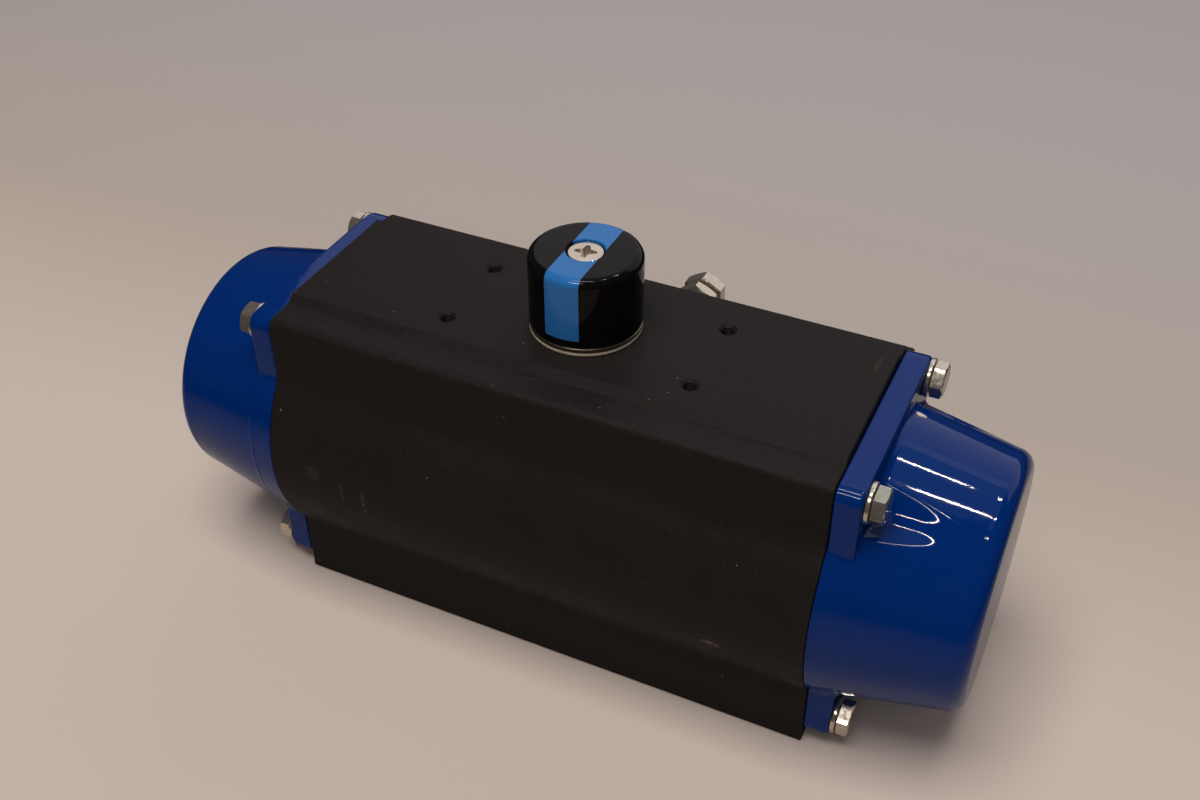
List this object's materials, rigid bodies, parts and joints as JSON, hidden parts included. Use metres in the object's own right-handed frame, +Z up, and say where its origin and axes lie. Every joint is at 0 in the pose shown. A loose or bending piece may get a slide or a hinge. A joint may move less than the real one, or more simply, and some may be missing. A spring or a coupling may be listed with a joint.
{
  "type": "pneumatic valve actuator",
  "caption": "Spring-return rack-and-pinion pneumatic actuator: black extruded body, blue domed end caps, rotating position indicator on top, adjustable stops at the back.",
  "frame": {"origin": "middle of the assembly's bounding box, on the bottom face of the body; the pinion axis is vertical at x = 0, y = -6.5 mm", "axes": "+X along the cylinder bore, +Y towards the port face and the stop screws, +Z up along the pinion axis towards the indicator"},
  "size_m": [0.2706, 0.109, 0.1346],
  "materials": {
    "black_anodised": "satin black hard anodised, fine extrusion lines and light scuffs",
    "blue_paint": "glossy blue powder coat over a die casting",
    "stainless": "turned and forged stainless fasteners",
    "washer_steel": "polished stainless disc, slightly warm",
    "plated_steel": "nickel plated machined steel",
    "cast_aluminium": "die cast, machined on the running faces",
    "black_rubber": "nitrile rubber",
    "white_plastic": "natural acetal",
    "gloss_black": "moulded glossy black",
    "gloss_blue": "moulded glossy light blue",
    "spring_steel": "dark epoxy coated spring steel"
  },
  "bodies": {
    "housing": {"body": "black_anodised", "end_cap_right": "blue_paint", "cap_seal_right": "black_rubber", "cap_bolt_right_1": "stainless", "cap_washer_right_1": "stainless", "cap_bolt_right_2": "stainless", "cap_washer_right_2": "stainless", "cap_bolt_right_3": "stainless", "cap_washer_right_3": "stainless", "cap_bolt_right_4": "stainless", "cap_washer_right_4": "stainless", "return_spring_right_1": "spring_steel", "return_spring_right_2": "spring_steel", "return_spring_right_3": "spring_steel", "end_cap_left": "blue_paint", "cap_seal_left": "black_rubber", "cap_bolt_left_1": "stainless", "cap_washer_left_1": "stainless", "cap_bolt_left_2": "stainless", "cap_washer_left_2": "stainless", "cap_bolt_left_3": "stainless", "cap_washer_left_3": "stainless", "cap_bolt_left_4": "stainless", "cap_washer_left_4": "stainless", "return_spring_left_1": "spring_steel", "return_spring_left_2": "spring_steel", "return_spring_left_3": "spring_steel", "stop_nut_closed": "stainless", "stop_seal_closed": "black_rubber", "stop_nut_open": "stainless", "stop_seal_open": "black_rubber", "pinion_bearing_top": "white_plastic", "pinion_bearing_bottom": "white_plastic"},
    "pinion": {"pinion": "plated_steel", "pinion_ring_top": "black_rubber", "pinion_ring_bottom": "black_rubber", "stop_cam": "plated_steel", "thrust_bearing": "white_plastic", "thrust_washer": "washer_steel", "circlip": "spring_steel", "indicator": "gloss_black", "indicator_stripe_front": "gloss_blue", "indicator_stripe_back": "gloss_blue", "indicator_screw": "stainless"},
    "piston_right": {"piston_right": "cast_aluminium", "piston_band_right": "white_plastic", "piston_ring_right": "black_rubber", "rack_pad_right": "white_plastic"},
    "piston_left": {"piston_left": "cast_aluminium", "piston_band_left": "white_plastic", "piston_ring_left": "black_rubber", "rack_pad_left": "white_plastic"},
    "stop_screw_closed": {"stop_screw_closed": "stainless"},
    "stop_screw_open": {"stop_screw_open": "stainless"}
  },
  "joints": [
    {"name": "piston_right_slide", "type": "slide", "parent": "housing", "child": "piston_right", "axis": [1, 0, 0], "range_m": [0, 0.02199], "stiffness_N_per_m": 400, "springref_m": -0.03, "deforming": ["return_spring_right_1", "return_spring_right_2", "return_spring_right_3"]},
    {"name": "piston_left_slide", "type": "slide", "parent": "housing", "child": "piston_left", "axis": [-1, 0, 0], "range_m": [0, 0.022], "stiffness_N_per_m": 400, "springref_m": -0.03, "deforming": ["return_spring_left_1", "return_spring_left_2", "return_spring_left_3"]},
    {"name": "pinion_turn", "type": "hinge", "parent": "housing", "child": "pinion", "pos_m": [0, -0.0065, 0.055], "axis": [0, 0, 1], "range_deg": [0, 90]},
    {"name": "stop_closed_adjust", "type": "slide", "parent": "housing", "child": "stop_screw_closed", "axis": [0, 1, 0], "range_m": [0, 0.004]},
    {"name": "stop_open_adjust", "type": "slide", "parent": "housing", "child": "stop_screw_open", "axis": [0, 1, 0], "range_m": [0, 0.004]}
  ],
  "couplings": [
    {"joint": "pinion_turn", "follows": "piston_right_slide", "rad_per_m": 71.429},
    {"joint": "piston_left_slide", "follows": "piston_right_slide", "ratio": 1}
  ]
}
